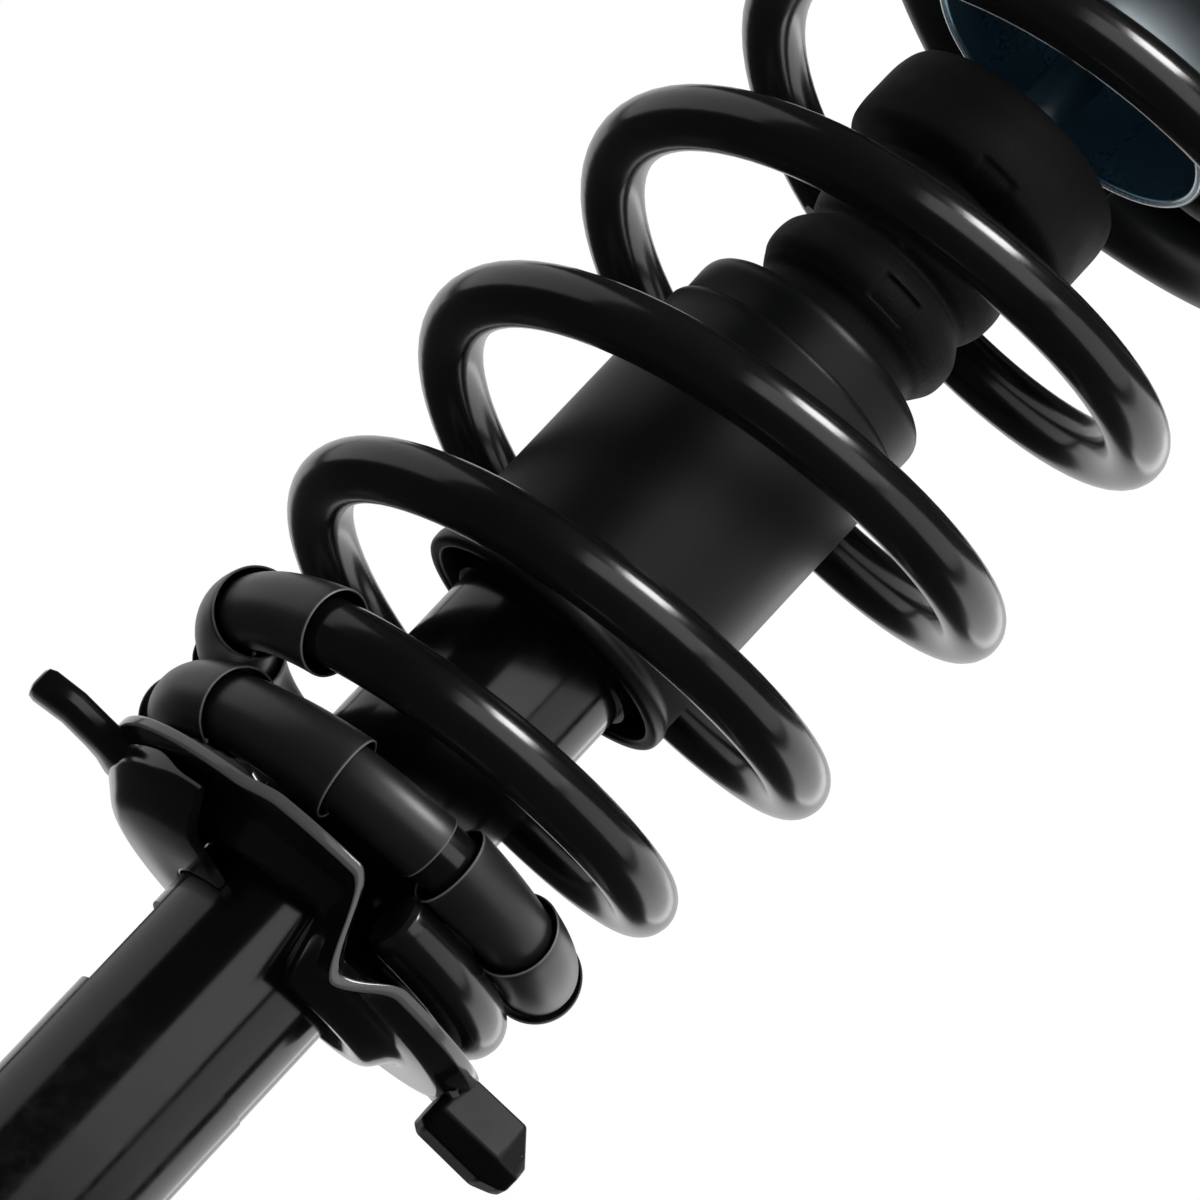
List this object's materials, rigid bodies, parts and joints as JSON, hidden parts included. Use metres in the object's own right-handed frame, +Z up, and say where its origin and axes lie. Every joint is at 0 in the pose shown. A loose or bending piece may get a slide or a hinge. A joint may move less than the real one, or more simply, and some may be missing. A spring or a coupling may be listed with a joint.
{
  "type": "coil-over strut",
  "caption": "Coil-over strut: clamp-in damper tube, coil spring in split sleeves on a climbing pressed seat, dust boot, bump stop, zinc cup and rubber-bushed top mount with studs.",
  "frame": {"origin": "centre of the tube's closed lower end, on the strut's axis", "axes": "+Z up the strut's axis from the clamped tube to the top mount; +X towards the ear with the rubber cap"},
  "size_m": [0.16, 0.16, 0.496],
  "materials": {
    "black_enamel": "semi-gloss black enamel over steel",
    "spring_enamel": "glossy dark grey powder coat",
    "sleeve_plastic": "satin dark grey thermoplastic",
    "pad_rubber": "moulded black rubber",
    "boot_rubber": "matte black boot rubber",
    "stop_foam": "dark grey microcellular foam",
    "rod_chrome": "ground and hard chromed",
    "blue_zinc": "bright zinc with a blue tint",
    "bright_zinc": "bright zinc plate",
    "plain_steel": "plain turned steel",
    "sintered_iron": "sintered iron",
    "bearing_polymer": "filled bearing polymer"
  },
  "bodies": {
    "tube": {"outer_tube": "black_enamel", "base_cap": "black_enamel", "lower_spring_seat": "black_enamel", "seat_support": "black_enamel", "coil_spring": "spring_enamel", "spring_sleeve_01": "sleeve_plastic", "spring_sleeve_02": "sleeve_plastic", "spring_sleeve_03": "sleeve_plastic", "spring_sleeve_04": "sleeve_plastic", "spring_sleeve_05": "sleeve_plastic", "spring_sleeve_06": "sleeve_plastic", "spring_sleeve_07": "sleeve_plastic", "spring_sleeve_08": "sleeve_plastic", "spring_sleeve_09": "sleeve_plastic", "spring_sleeve_10": "sleeve_plastic", "spring_sleeve_11": "sleeve_plastic", "spring_sleeve_12": "sleeve_plastic", "lower_spring_pad": "pad_rubber", "ear_cap": "pad_rubber", "rod_seal": "pad_rubber", "pressure_tube": "plain_steel", "base_valve_disc": "plain_steel", "tube_top_cap": "plain_steel", "base_valve": "sintered_iron", "rod_guide": "sintered_iron", "guide_bush": "bearing_polymer"},
    "rod": {"piston_rod": "rod_chrome", "piston": "sintered_iron", "piston_band": "bearing_polymer", "piston_shims": "plain_steel", "piston_nut": "plain_steel", "rebound_ring": "plain_steel", "rebound_cushion": "pad_rubber", "bump_cup": "blue_zinc", "lower_washer": "bright_zinc", "upper_spring_seat": "bright_zinc", "upper_spring_pad": "pad_rubber", "mount_plate": "bright_zinc", "mount_sleeve": "plain_steel", "mount_rubber": "pad_rubber", "upper_washer": "bright_zinc", "rod_nut": "bright_zinc", "mount_studs": "bright_zinc", "top_sleeve_1": "sleeve_plastic", "top_sleeve_2": "sleeve_plastic", "top_sleeve_3": "sleeve_plastic", "top_sleeve_4": "sleeve_plastic"},
    "stop": {"bump_stop": "stop_foam", "dust_boot": "boot_rubber", "boot_ring": "boot_rubber"}
  },
  "joints": [
    {"name": "rod_slide", "type": "slide", "parent": "tube", "child": "rod", "axis": [0, 0, -1], "range_m": [0, 0.11], "stiffness_N_per_m": 28000, "springref_m": -0.035, "deforming": ["coil_spring"]},
    {"name": "stop_slide", "type": "slide", "parent": "rod", "child": "stop", "axis": [0, 0, 1], "range_m": [0, 0.05]}
  ],
  "couplings": [
    {"joint": "stop_slide", "follows": "rod_slide", "ratio": 0.45455}
  ]
}
